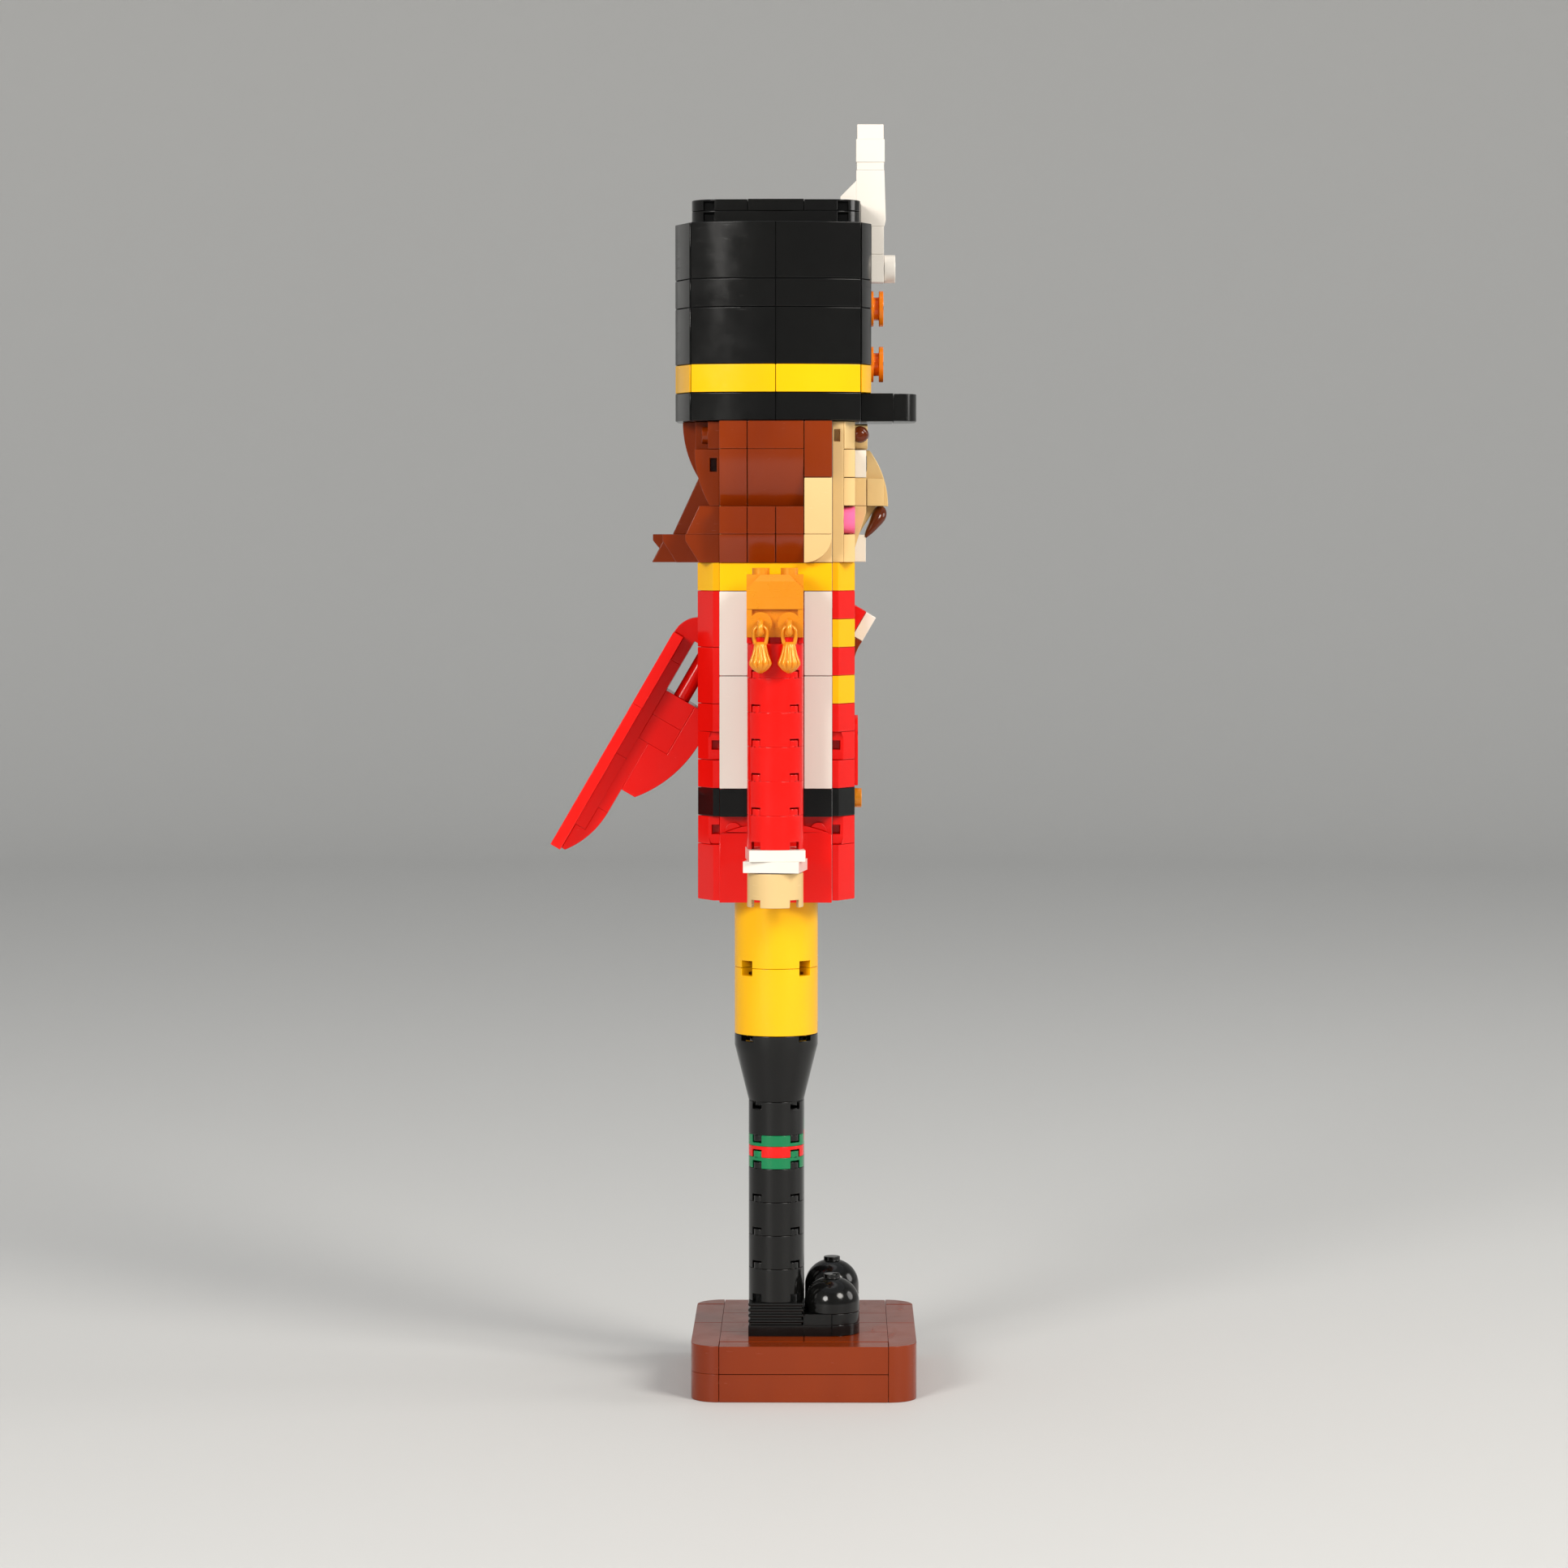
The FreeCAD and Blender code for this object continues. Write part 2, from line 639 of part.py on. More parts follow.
# ---- jaw lever, drawn closed and then turned open about the axle ----
def make_lever():
    pivot = at(0, 0, axle_z)

    def opened(shapes):
        return [turn(shape, open_angle, pivot, Vector(1, 0, 0)) for shape in shapes]

    def tail(outline, half):
        """An outline in (distance in from the tail's face, distance down the tail)."""
        def move(pair):
            return (pair[0] - tail_face, axle_z - tail_top_drop - pair[1])
        points = []
        for step in outline:
            points.append(("arc", move(step[1]), move(step[2])) if step[0] == "arc" else move(step))
        return prism(points, "fz", -half, half)

    hub_low = axle_z - axle_rise
    hub_high = hub_low + brick_height
    hub = block((-stud_pitch, stud_pitch), (-hub_length / 2, hub_length / 2), (hub_low, hub_high))
    bore = disc(axle_diameter / 2 + axle_fit, 4 * stud_pitch, (-2 * stud_pitch, 0, axle_z), "x")
    hub = hub.cut(bore)
    cap_low = axle_z - tail_top_drop
    arm_top = cap_low + tail_cap_radius
    link = block((-stud_pitch, stud_pitch), (-hub_length / 2, hub_length / 2), (arm_top, hub_low))
    save("lever_hub", opened([hub, link]))

    skin_thick = plate_height
    corner = tail_cap_radius
    diagonal = corner * (1 - math.sqrt(0.5))
    arm_end = tail_face + hub_length / 2
    cap = tail([(0, 0), ("arc", (diagonal, diagonal - corner), (corner, -corner)),
                (arm_end, -corner), (arm_end, -arm_under), (2 * skin_thick, -arm_under),
                (2 * skin_thick, cap_drop), (skin_thick, cap_drop), (skin_thick, 0)], lever_half)
    save("tail_cap", opened([cap]))

    skin_seam = tail_skin_seam
    skin = [tail([(0, 0), (skin_thick, 0), (skin_thick, skin_seam), (0, skin_seam)], tail_skin_half),
            tail([(0, skin_seam), (skin_thick, skin_seam), (skin_thick, tail_length),
                  (0, tail_length)], tail_skin_half)]
    save("tail_skin", opened(skin))

    second = 2 * skin_thick
    third = 3 * skin_thick
    start = cap_drop
    layer_seam = tail_layer_seam
    layer_end = tail_length - stud_pitch
    layers = [tail([(skin_thick, start), (second, start), (second, layer_seam),
                    (skin_thick, layer_seam)], lever_half),
              tail([(skin_thick, layer_seam), (second, layer_seam), (second, layer_end),
                    (skin_thick, layer_end)], lever_half),
              tail([(second, 2 * fin_start), (third, 2 * fin_start), (third, tail_tip_start),
                    (second, tail_tip_start)], lever_half)]
    tip_mid = slope_arc(tail_length - tail_tip_start, third, tail_tip_depth)
    tip = tail([(second, tail_tip_start), (third, tail_tip_start),
                ("arc", (tip_mid[1], tail_tip_start + tip_mid[0]), (tail_tip_depth, tail_length)),
                (skin_thick, tail_length), (skin_thick, layer_end), (second, layer_end)],
               lever_half)

    panel_depth = second + brick_height
    step = (2 * fin_start - fin_start) / 2
    fin = []
    for number in range(2):
        top = fin_start + number * step
        fin.append(tail([(second, top), (panel_depth, top), (panel_depth, top + step),
                         (second, top + step)], lever_half))
    fin_mid = slope_arc(fin_end - 3 * stud_pitch, fin_depth, fin_tip_depth)
    curve_start = 3 * stud_pitch
    fin.append(tail([(panel_depth, fin_start), (fin_depth, fin_start + 0.4),
                     (fin_depth, curve_start),
                     ("arc", (fin_mid[1], curve_start + fin_mid[0]), (fin_tip_depth, fin_end)),
                     (third, fin_end), (third, 2 * fin_start), (panel_depth, 2 * fin_start)],
                    lever_half))
    save("tail_layers", opened(layers + [tip] + fin))
    bar_top = axle_z - tail_top_drop + arm_under
    bar_length = bar_top - (axle_z - tail_top_drop - fin_start)
    bars = [disc(stud_diameter / 2, bar_length, (side * stud_pitch / 2, lever_bar_depth - tail_face,
                 bar_top - bar_length)) for side in (-1, 1)]
    save("lever_bars", opened(bars))

    arm_low = hub_high
    jaw_low = arm_low + plate_height
    arm = block((-stud_pitch, stud_pitch), (-hub_length / 2, jaw_reach), (arm_low, jaw_low))
    jaw = block((-stud_pitch, stud_pitch), (jaw_reach - jaw_depth, jaw_reach),
                (jaw_low, jaw_low + jaw_height))
    save("jaw_arm", opened([arm, jaw]))
    teeth = block((-stud_pitch, stud_pitch), (jaw_reach, jaw_reach + plate_height),
                  (jaw_low, jaw_low + jaw_height), seat="f")
    save("jaw_teeth", opened([teeth]))
    beard_front = jaw_reach + plate_height
    low = jaw_low - beard_length
    outline = [(jaw_reach, jaw_low), (beard_front, jaw_low),
               ("arc", (beard_front + 0.2, jaw_low - beard_length / 2), (beard_front + 1.8, low)),
               (beard_front + 1.8 - beard_thickness, low),
               ("arc", (beard_front + 0.2 - beard_thickness, jaw_low - beard_length / 2),
                (jaw_reach, jaw_low - plate_height / 2))]
    beard = prism(outline, "fz", -lever_half, lever_half)
    save("beard", opened([beard]))


# ---- arms ----
def tassel(x, f):
    """A bell on a loop, hanging from the hook pin at its top; x is the loop's outer face."""
    z = axle_z - hook_drop
    radius = tassel_loop / 2
    width = tassel_width / 2
    middle = x + tassel_loop_depth / 2
    neck_z = z - tassel_window - tassel_neck / 2
    loop = prism([(f - radius, neck_z), (f - radius, z), ("arc", (f, z + radius), (f + radius, z)),
                  (f + radius, neck_z)], "fz", x, x + tassel_loop_depth)
    hole = hook_pin / 2 + tassel_fit
    slot = prism([(f - hole, z - tassel_window), (f - hole, z), ("arc", (f, z + hole), (f + hole, z)),
                  (f + hole, z - tassel_window)], "fz", x, x + tassel_loop_depth)
    bottom_z = z - tassel_drop
    widest_z = bottom_z + tassel_neck
    points = [(0, z - tassel_window), (tassel_neck / 2, z - tassel_window),
              (width, widest_z + slope_lip / 2), (width, widest_z), (tassel_neck / 2, bottom_z),
              (0, bottom_z)]
    ring = [at(middle + across, f, height) for across, height in points]
    bell = Part.Face(Part.makePolygon(ring + [ring[0]])).revolve(ring[0], Vector(0, 0, 1), full_turn)
    for number in range(tassel_flutes):
        angle = 2 * math.pi * number / tassel_flutes
        flute = disc(flute_radius, tassel_drop, (middle + width * math.cos(angle),
                                                 f + width * math.sin(angle), bottom_z))
        bell = bell.cut(flute)
    return loop.fuse(bell).cut(slot).removeSplitter()


def make_arms():
    x = -arm_offset
    shoulder_low = axle_brick_z
    arm_low = shoulder_low - arm_bricks * brick_height
    cuff_low = arm_low - 2 * plate_height
    hand_high = cuff_low - hand_gap
    hand_low = hand_high - brick_height
    pin = stud_diameter / 2
    outer = x - stud_pitch
    inner = x + stud_pitch

    bricks = []
    for number in range(arm_bricks):
        bricks.append(round_brick(x, 0, arm_low + number * brick_height, brick_height,
                                  arm_diameter))
    pin_low = hand_low + brick_height / 3
    bricks[0] = bricks[0].fuse(disc(pin, arm_low + brick_height - pin_low - shell_wall / 2,
                                    (x, 0, pin_low)))
    shoulder = block((inner, outer + plate_height), (-stud_pitch, stud_pitch),
                     (shoulder_low, shoulder_low + brick_height))
    for dx, df in stud_places():
        shoulder = shoulder.cut(disc(pin + stud_fit, stud_height + stud_fit,
                                     (x + dx, df, shoulder_low)))
    bore_end = x - stud_pitch / 2 - shoulder_gap
    shoulder = shoulder.cut(disc(axle_diameter / 2 + axle_fit, inner - bore_end,
                                 (bore_end, 0, axle_z), "x"))
    bricks.append(shoulder)

    plate_low = shoulder_low + brick_height
    top_low = plate_low + plate_height
    top_high = top_low + epaulette_height
    gold = [block((inner, outer), (-stud_pitch, stud_pitch), (plate_low, top_low))]
    top = block((inner, outer), (-stud_pitch, stud_pitch), (top_low, top_high))
    cut = epaulette_chamfer
    half = stud_pitch
    flange_x = outer + flange_depth
    for near in (-1, 1):
        wedge = [(near * half, top_high), (near * (half - cut), top_high),
                 (near * half, top_high - cut)]
        top = top.cut(prism(wedge, "fz", outer, flange_x))
        for dx in (-stud_pitch / 2, stud_pitch / 2):
            top = top.fuse(disc(pin, stud_height, (x + dx, near * stud_pitch / 2, top_high)))
    roof = [(outer, top_high), (flange_x, top_high), (outer, top_high - roof_drop)]
    top = top.cut(prism(roof, "xz", -half, half))
    gold.append(top)
    recess_low = plate_low - tile_row + side_play
    bracket = block((outer + plate_height, outer), (-stud_pitch, stud_pitch),
                    (recess_low, plate_low), seat="x")
    bracket = bracket.cut(block((outer + plate_height / 2, outer), (-stud_pitch + shell_wall,
                          stud_pitch - shell_wall), (recess_low, plate_low), seat="x"))
    for near in (-1, 1):
        f = near * hook_spacing / 2
        face = outer + plate_height / 2
        bracket = bracket.fuse(disc(hook_disc / 2, hook_disc_depth,
                                    (face - hook_disc_depth, f, axle_z), "x"))
        bracket = bracket.fuse(disc(hook_pin / 2, hook_pin_length + hook_disc_depth,
                                    (face - hook_disc_depth - hook_pin_length, f,
                                     axle_z - hook_drop), "x"))
    gold.append(bracket.removeSplitter())

    loop_face = x - arm_diameter / 2 - tassel_gap - (tassel_width + tassel_loop_depth) / 2
    tassels = [tassel(loop_face, near * hook_spacing / 2) for near in (1, -1)]

    cuffs = []
    for number, degrees in enumerate(cuff_turns):
        high = arm_low - number * plate_height
        half = cuff_size / 2
        corner = at(x - half, half, high - plate_height)
        cuff = Part.makeBox(cuff_size, cuff_size, plate_height, corner)
        cuff = cuff.cut(disc(pin + wrist_pin_fit, plate_height, (x, 0, high - plate_height)))
        cuffs.append(turn(cuff, degrees, at(x, 0, 0), Vector(0, 0, 1)))
    hand = round_brick(x, 0, hand_low, brick_height, arm_diameter, studs=False,
                       pin_hole=pin + wrist_pin_fit)

    for side, change in (("right", lambda shape: shape), ("left", mirror_x)):
        save("arm_bricks_" + side, [change(piece) for piece in bricks])
        save("epaulette_" + side, [change(piece) for piece in gold])
        save("tassel_front_" + side, [change(tassels[0])])
        save("tassel_rear_" + side, [change(tassels[1])])
        save("cuffs_" + side, [change(piece) for piece in cuffs])
        save("hand_" + side, [change(hand)])


# ---- head ----
def row_z(row):
    """Low and high z of a head row; row 1 is the top one."""
    high = hat_z - (row - 1) * tile_row
    return (high - tile_row, high)


def side_slope(fs, low, high, thick, lip, curved):
    """A slope on the head's right side whose face runs in towards its bottom."""
    root = -head_half
    if curved:
        mid = slope_arc(high - low, thick, lip)
        outline = [(root, low), (root - lip, low), ("arc", (root - mid[1], high - mid[0]),
                   (root - thick, high)), (root, high)]
    else:
        outline = [(root, low), (root - lip, low), (root - thick, high - lip),
                   (root - thick, high), (root, high)]
    return prism(outline, "xz", fs[0] + side_play, fs[1] - side_play)


def make_head():
    pitch = stud_pitch
    core = []
    count = int(head_rise // brick_height)
    for number in range(count):
        low = head_z + number * brick_height
        high = hat_z if number == count - 1 else low + brick_height
        core += [block((-head_half, 0), (-head_half_depth, head_half_depth), (low, high)),
                 block((0, head_half), (-head_half_depth, head_half_depth), (low, high))]
    save("head_core", core)

    plate = head_half + plate_height
    tiles = []
    for row in (1, 4, 5):
        tiles.append(block((-head_half, -plate), (-2 * pitch, pitch), row_z(row), seat="x"))
    for fs in ((-2 * pitch, -pitch), (-pitch, pitch)):
        tiles.append(block((-plate, -head_side), fs, row_z(1), seat="x"))
    tall = (row_z(2)[0], row_z(1)[1])
    tiles.append(block((-head_half, -head_side), (pitch, 2 * pitch), tall, seat="x"))
    for column in (-2, -1, 0):
        tiles.append(block((-plate, -head_side), (column * pitch, (column + 1) * pitch), row_z(4),
                           seat="x"))
    low5, high5 = row_z(5)
    for column in (-2, -1, 0):
        outline = [(-plate, low5), (-plate - hair_foot, low5), (-head_side, high5 - slope_lip),
                   (-head_side, high5), (-plate, high5)]
        tiles.append(prism(outline, "xz", column * pitch + side_play, (column + 1) * pitch - side_play))
    save("hair_tiles", both_sides(tiles))

    slopes = [side_slope((-2 * pitch, -pitch), row_z(3)[0], row_z(2)[1], side_layer, slope_lip, True),
              side_slope((-pitch, pitch), row_z(3)[0], row_z(2)[1], side_layer, slope_lip, True)]
    back = -head_half_depth

    def back_piece(xs, outline):
        return prism(outline, "fz", xs[0] + side_play, xs[1] - side_play)

    low2, high1 = row_z(2)[0], row_z(1)[1]
    low3, high2 = row_z(3)[0], row_z(2)[1]
    low4, high4 = row_z(4)
    top, foot = crown_hair
    centre_mid = slope_arc(high1 - low2, top, foot)
    slopes.append(back_piece((-pitch, 0), [(back, high1), (back - top, high1),
                  ("arc", (back - centre_mid[1], high1 - centre_mid[0]), (back - foot, low2)),
                  (back, low2)]))
    columns = ((-2 * pitch, -pitch), (-3 * pitch, -2 * pitch))
    top, foot = middle_hair
    outer_mid = slope_arc(high2 - low3, top, foot)
    hole = block((-head_half, -head_half + side_layer), (back - hair_hole[0], back - hair_hole[1]),
                 (hair_hole_low, hair_hole_low + hair_hole_height))
    for xs in columns:
        piece = back_piece(xs, [(back, high2), (back - top, high2),
                           ("arc", (back - outer_mid[1], high2 - outer_mid[0]), (back - foot, low3)),
                           (back, low3)])
        slopes.append(piece.cut(hole))
    stud_row = row_z(1)
    slopes.append(block(columns[0], (back, back - top), stud_row, seat="f"))
    outer = block(columns[1], (back, back - plate_height), stud_row, seat="f")
    knob = disc(stud_diameter / 2, plate_height, (-2.5 * pitch, back - plate_height - stud_height,
                                                  sum(stud_row) / 2), "f")
    slopes.append(outer.fuse(knob))
    slopes.append(back_piece((-pitch, 0), [(back, low2), (back - nape_hair[0], low2),
                  (back - nape_hair[1], low4), (back, low4)]))
    for xs in columns:
        slopes.append(back_piece(xs, [(back, high4), (back - low_hair[0], high4),
                      (back - low_hair[1], low4), (back, low4)]))
    flare = []
    reach = flare_reach + back
    for side, xs in ((-1, (-pitch, 0)), (1, (0, pitch))):
        if side < 0:
            tuck = reach - flare_right_set_back
            outline = [(back, high5), (back - tuck, high5), (back - tuck, high5 - slope_lip),
                       (back - reach, low5), (back, low5)]
        else:
            outline = [(back, high5), (back - reach, high5), (back - reach, high5 - slope_lip),
                       (back - reach + flare_left_undercut, low5), (back, low5)]
        flare.append(back_piece(xs, outline))
    for number, tip in flare_steps:
        outline = [(back, high5), (back - tip, high5), (back - tip, high5 - slope_lip),
                   (back - tip + flare_undercut, low5), (back, low5)]
        piece = back_piece((-(number + 1) * pitch, -number * pitch), outline)
        flare += both_sides([piece])
    save("hair_slopes", both_sides(slopes) + flare)

    front = head_half_depth
    face = [block((-head_half, head_half), (front, face_base), (head_z, hat_z), seat="f")]
    row_low = row_z(1)[0]
    recess = block((-head_half, -head_half + plate_height),
                   (front + temple_slot[0], front + temple_slot[1]),
                   (row_low + temple_slot_low, row_low + temple_slot_high))
    face = [face[0].cut(recess).cut(mirror_x(recess))]
    sides = []
    for row in (3, 4):
        sides.append(block((-head_half, -plate), (pitch, 2 * pitch), row_z(row), seat="x"))
    long_low, long_high = row_z(4)[0], row_z(3)[1]
    sides.append(block((-plate, -head_side), (pitch, 2 * pitch), (long_low, long_high), seat="x"))
    sides.append(block((-head_half, -plate), (pitch, 2 * pitch), row_z(5), seat="x"))
    sweep = math.sqrt(0.5) * pitch
    quarter = [(pitch, high5), (2 * pitch - side_play, high5),
               ("arc", (pitch + sweep, high5 - sweep), (pitch, low5))]
    sides.append(prism(quarter, "fz", -head_side, -plate))
    save("face_side_tiles", both_sides(sides))

    bricks = []
    brow_low, brow_high = row_z(1)
    outline = [(-eye_half, face_base), (-eye_half, face_front), (-temple_slope * pitch, face_front),
               (-head_half + side_play, face_base + 0.4), (-head_half + side_play, face_base)]
    bricks.append(prism(outline, "xf", brow_low + side_play, brow_high - side_play))
    for row in (2, 3, 5):
        bricks.append(block((-head_half, -2 * pitch), (face_base, face_front), row_z(row), seat="f"))
    bricks.append(block((-2 * pitch, -eye_half), (face_base, face_front), row_z(2), seat="f"))
    bricks.append(block((-2 * pitch, -eye_half), (face_base, eye_front), row_z(3), seat="f"))
    chin_low, chin_high = row_z(5)[0], row_z(4)[1]
    outline = [(face_base, chin_low), (face_base + chin_foot, chin_low), (eye_front, chin_high - slope_lip),
               (eye_front, chin_high), (face_base, chin_high)]
    bricks.append(prism(outline, "fz", -2 * pitch + side_play, -eye_half - side_play))
    cup_z = brow_low + cup_rise
    cup_back = face_front + cup_depth / 2
    cup = disc(cup_radius, cup_depth, (-1.5 * pitch, face_front, cup_z), "f")
    bricks.append(cup.cut(disc(cup_bore, cup_depth, (-1.5 * pitch, cup_back, cup_z), "f")))
    centre = [block((-eye_half, eye_half), (face_base, face_front), row_z(row), seat="f")
              for row in (1, 2, 3, 4, 5)]
    save("face_plate", face)
    save("face_bricks", both_sides(bricks) + centre)

    eyes = [block((-2 * pitch, -eye_half), (face_front, eye_front), row_z(2), seat="f")]
    save("eyes", both_sides(eyes))
    teeth = block((-eye_half, eye_half), (face_front, eye_front), row_z(5), seat="f")
    save("upper_teeth", [teeth])

    nose_low, nose_high = row_z(3)[0], row_z(2)[1]
    run = nose_high - nose_low
    mid = slope_arc(run, nose_tip, nose_top)
    outline = [(face_front, nose_low), (nose_tip, nose_low),
               ("arc", (mid[1], nose_low + mid[0]), (nose_top, nose_high)),
               (face_front, nose_high)]
    bridge = prism(outline, "fz", -nose_half + side_play, nose_half - side_play)
    under_low = row_z(4)[0]
    outline = [(face_front, under_low), (face_front + under_nose_foot, under_low),
               (under_nose_reach, nose_low),
               (face_front, nose_low)]
    under = prism(outline, "fz", -nose_half + side_play, nose_half - side_play)
    nostril = block((-nose_half - plate_height, -nose_half), (face_front + nostril_back,
                    nose_tip - nostril_front),
                    row_z(3), seat="x")
    save("nose", [bridge, under] + both_sides([nostril]))

    cheek = disc(stud_pitch / 2 - side_play, face_layer,
                 (-2.5 * pitch, face_base, sum(row_z(4)) / 2), "f")
    save("cheeks", both_sides([cheek]))

    brow = Part.makeSphere(brow_radius, at(-1.5 * pitch, cup_back + brow_radius, cup_z))
    tip = at(-moustache_half, eye_front + moustache_tip, high5)
    thick_end = at(-nose_half, moustache_front - moustache_root, nose_low - moustache_root)
    direction = tip.sub(thick_end)
    horn = Part.makeCone(moustache_root, moustache_tip, direction.Length, thick_end, direction)
    horn = horn.fuse(Part.makeSphere(moustache_root, thick_end))
    horn = horn.cut(under).cut(block((-pitch, pitch), (0, eye_front), (head_z, hat_z), seat="f"))
    horn = horn.cut(block((-nose_half, 0), (0, nose_tip), (head_z, hat_z), seat="x"))
    horn = horn.cut(bridge).cut(nostril)
    save("brows_and_moustache", both_sides([brow, horn]))


# ---- hat ----
def hat_curve(low, high, rise=hat_side_rise, lip=hat_side_lip):
    """Two curved slopes on the right side and two halves on the front or back, as one ring."""
    pieces = []
    mid = slope_arc(hat_half, rise, lip)
    for near in (-1, 1):
        outline = [(-hat_core_half, near * side_play), (-hat_core_half - rise, near * side_play),
                   ("arc", (-hat_core_half - mid[1], near * mid[0]),
                    (-hat_core_half - lip, near * (hat_half - side_play))),
                   (-hat_core_half, near * (hat_half - side_play))]
        pieces.append(prism(outline, "xf", low + side_play, high - side_play))
    return both_sides(pieces)


def hat_end(end, low, high, peak, shoulder):
    """The right half of the hat's front or back: a facet and a flat middle."""
    corner = hat_core_half - side_play
    outline = [(-side_play, end * hat_half), (-side_play, end * peak), (-shoulder, end * peak),
               (-corner, end * (hat_half + hat_facet)), (-corner, end * hat_half)]
    return both_sides([prism(outline, "xf", low + side_play, high - side_play)])


def make_hat():
    core = block((-hat_core_half, hat_core_half), (-hat_half, hat_half), (hat_z, hat_top_z))
    wall = stud_pitch
    core = core.cut(block((-hat_core_half + wall, hat_core_half - wall), (-hat_half + wall,
                    hat_half - wall), (hat_z + wall, hat_top_z)))
    half = hat_half - side_play
    corner = stud_pitch
    bend = corner * (1 - math.sqrt(0.5))
    outline = [(-half + corner, -half), (half - corner, -half),
               ("arc", (half - bend, -half + bend), (half, -half + corner)), (half, half - corner),
               ("arc", (half - bend, half - bend), (half - corner, half)), (-half + corner, half),
               ("arc", (-half + bend, half - bend), (-half, half - corner)), (-half, -half + corner),
               ("arc", (-half + bend, -half + bend), (-half + corner, -half))]
    plates = []
    for number in range(2):
        low = hat_top_z + number * plate_height
        plate = prism(outline, "xf", low, low + plate_height - side_play)
        for near in (-1, 1):
            sides = sorted((near * (half - gap_start), near * (half - gap_start - gap_width)))
            notch = block((-half, -half + gap_depth), sides, (low, low + gap_height))
            plate = plate.cut(notch).cut(mirror_x(notch))
        plates.append(plate)
    seam = block((-half, half), (-2 * side_play, 2 * side_play), (hat_top_z, crown_z), seat="z")
    plates[0] = plates[0].cut(seam)
    slot = block((-half - side_play, -half + corner), (-corner, corner), (hat_top_z, crown_z), seat="f")
    plates[1] = plates[1].cut(slot).cut(mirror_x(slot))
    plates += both_sides([block((-half - side_play, -half + corner - side_play), (-corner, corner),
                                (hat_top_z + plate_height, crown_z))])
    save("hat_plates", [core] + plates)

    black = []
    levels = [(hat_z, band_z)]
    low = black_z
    for height in hat_black_rows:
        levels.append((low, low + height))
        low += height
    back_peak = hat_half + hat_back_peak
    front_peak = hat_half + hat_front_peak
    for low, high in levels:
        black += hat_curve(low, high)
        black += hat_end(-1, low, high, back_peak, hat_back_flat)
        if low > hat_z:
            black += hat_end(1, low, high, front_peak, hat_front_flat)
    save("hat_black_slopes", black)
    band = hat_curve(band_z, black_z) + hat_end(-1, band_z, black_z, back_peak, hat_back_flat)
    band += hat_end(1, band_z, black_z, front_peak, hat_front_flat)
    save("hat_band", band)

    bend = stud_pitch * (1 - math.sqrt(0.5))
    mid_f = visor_reach - visor_nose
    rear = block((-visor_half, visor_half), (hat_half, mid_f), (hat_z, band_z))
    root = mid_f + side_play
    outline = [(-visor_half, root), (visor_half, root),
               ("arc", (visor_half - bend, visor_reach - bend), (visor_half - stud_pitch, visor_reach)),
               (-visor_half + stud_pitch, visor_reach),
               ("arc", (-visor_half + bend, visor_reach - bend), (-visor_half, root))]
    save("hat_visor", [rear, prism(outline, "xf", hat_z + side_play, band_z - side_play)])

    half = plume_half
    root = front_peak
    top = crown_z + plume_top
    back_f = hat_half - plume_overhang
    front_f = back_f + stud_pitch
    tile_z = hat_top_z
    column_low = tile_z - stud_pitch
    plume = [block((-half, half), (root, front_f), (column_low, tile_z)),
             block((-half, half), (root, front_f), (column_low - stud_pitch, column_low))]
    lower = plume_lower
    bulge = front_f + stud_height / 4
    outline = [(hat_half, tile_z), (front_f, tile_z), (bulge, tile_z + slope_lip),
               (front_f, tile_z + lower), (back_f, tile_z + lower), (back_f, crown_z),
               (hat_half, crown_z)]
    plume.append(prism(outline, "fz", -half + side_play, half - side_play))
    joints = (tile_z + lower, tile_z + lower + plume_joint, top - plume_tip, top)
    for low, high, proud in zip(joints, joints[1:], plume_steps):
        plume.append(block((-half - proud, half + proud), (back_f - proud, front_f + proud),
                           (low, high)))
    reach, rise, lip = plume_wedge
    wedge = [(back_f, crown_z), (back_f, crown_z + rise), (back_f - reach, crown_z + lip),
             (back_f - reach, crown_z)]
    plume.append(prism(wedge, "fz", -half, half))
    disc_z = column_low - stud_pitch / 2
    plume.append(disc(stud_pitch / 2, plate_height, (0, front_f, disc_z), "f"))
    save("plume", plume)

    buttons = []
    rim_f = front_peak + button_reach - button_rim
    for rise in button_heights:
        centre_z = black_z + rise
        spool = disc(button_hub / 2, button_reach, (0, front_peak, centre_z), "f")
        spool = spool.fuse(disc(button_flange / 2, button_root, (0, front_peak, centre_z), "f"))
        spool = spool.fuse(disc(button_flange / 2, button_rim, (0, rim_f, centre_z), "f"))
        buttons.append(spool.removeSplitter())
    save("hat_buttons", buttons)


os.makedirs("parts", exist_ok=True)
make_base()
make_legs()
make_torso()
make_lever()
make_arms()
make_head()
make_hat()
